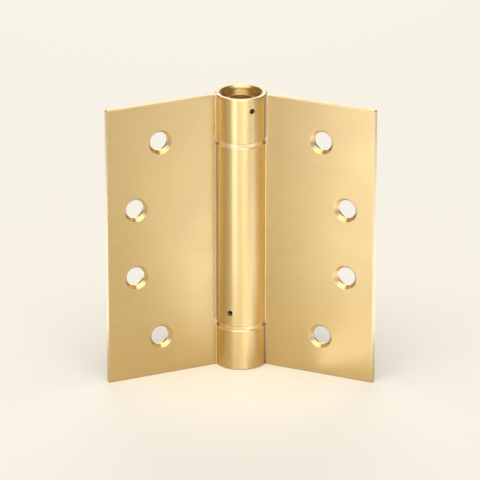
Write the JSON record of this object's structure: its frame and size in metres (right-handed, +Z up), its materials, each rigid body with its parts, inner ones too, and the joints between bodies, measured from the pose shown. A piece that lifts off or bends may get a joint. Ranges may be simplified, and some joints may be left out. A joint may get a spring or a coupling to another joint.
{
  "type": "spring hinge",
  "caption": "Square-cornered butt hinge in brass-coloured metal, with a torsion spring in its long centre knuckle that closes a door, and a plug in the top knuckle that winds it.",
  "frame": {"origin": "on the barrel axis in the bottom plane, at the middle of the bottom cap's underside", "axes": "+Z up the barrel; the frame leaf lies along -X and its back faces +Y; the door leaf swings about Z and is 130 degrees open at rest"},
  "size_m": [0.0962, 0.0534, 0.1143],
  "materials": {
    "satin_brass": "satin, brushed across the leaves and round the barrel",
    "plug_brass": "turned",
    "bush_bronze": "turned bearing bronze",
    "turned_steel": "turned",
    "spring_steel": "oiled dark spring steel"
  },
  "bodies": {
    "frame_leaf": {"frame_leaf": "satin_brass", "lower_bush": "bush_bronze", "bottom_cap": "plug_brass"},
    "door_leaf": {"door_leaf": "satin_brass", "upper_bush": "bush_bronze", "torsion_spring": "spring_steel", "anchor_plug": "turned_steel", "anchor_pin": "spring_steel"},
    "tension_plug": {"tension_plug": "plug_brass"}
  },
  "joints": [
    {"name": "leaf_swing", "type": "hinge", "parent": "frame_leaf", "child": "door_leaf", "pos_m": [0, 0, 0], "axis": [0, 0, 1], "range_deg": [-130, 50], "deforming": ["torsion_spring"]},
    {"name": "tension_adjust", "type": "hinge", "parent": "frame_leaf", "child": "tension_plug", "pos_m": [0, 0, 0], "axis": [0, 0, 1], "range_deg": [-270, 0], "deforming": ["torsion_spring"]}
  ]
}
